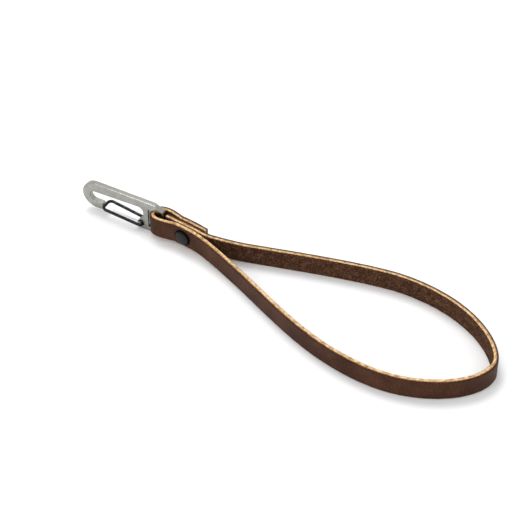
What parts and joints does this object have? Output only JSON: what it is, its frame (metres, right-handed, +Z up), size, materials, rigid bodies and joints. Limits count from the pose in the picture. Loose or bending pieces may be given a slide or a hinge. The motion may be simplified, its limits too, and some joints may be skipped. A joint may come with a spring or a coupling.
{
  "type": "clip-on wrist strap",
  "caption": "Leather wrist loop riveted round the bar of a flat steel snap clip with a sprung wire gate.",
  "frame": {"origin": "on the surface the object rests on, straight below the upright bar that the strap turns about", "axes": "+X from the clip's nose towards the loop, +Y through the clip plate's thickness away from its near face, +Z up"},
  "size_m": [0.2357, 0.0661, 0.018],
  "materials": {
    "steel": "fine brushed and tumbled stainless plate",
    "gate_wire": "smooth black oxide spring wire",
    "leather": "smooth oiled brown grain with a raw tan edge and a dark napped flesh side",
    "cap_black": "satin black domed cap",
    "rivet_inner": "plain plated brass"
  },
  "bodies": {
    "strap_body": {"strap": "leather", "rivet_front_cap": "cap_black", "rivet_socket": "rivet_inner", "rivet_back_cap": "cap_black", "rivet_post": "rivet_inner"},
    "clip": {"clip_body": "steel"},
    "gate": {"wire_gate": "gate_wire"}
  },
  "joints": [
    {"name": "clip_swing", "type": "hinge", "parent": "strap_body", "child": "clip", "pos_m": [0, 0, 0.008], "axis": [0, 0, 1], "range_deg": [-90, 90]},
    {"name": "gate_open", "type": "hinge", "parent": "clip", "child": "gate", "pos_m": [-0.0108, 0, 0.0029], "axis": [0, 1, 0], "range_deg": [0, 16], "stiffness_Nm_per_rad": 0.12, "springref_deg": -8.59}
  ]
}
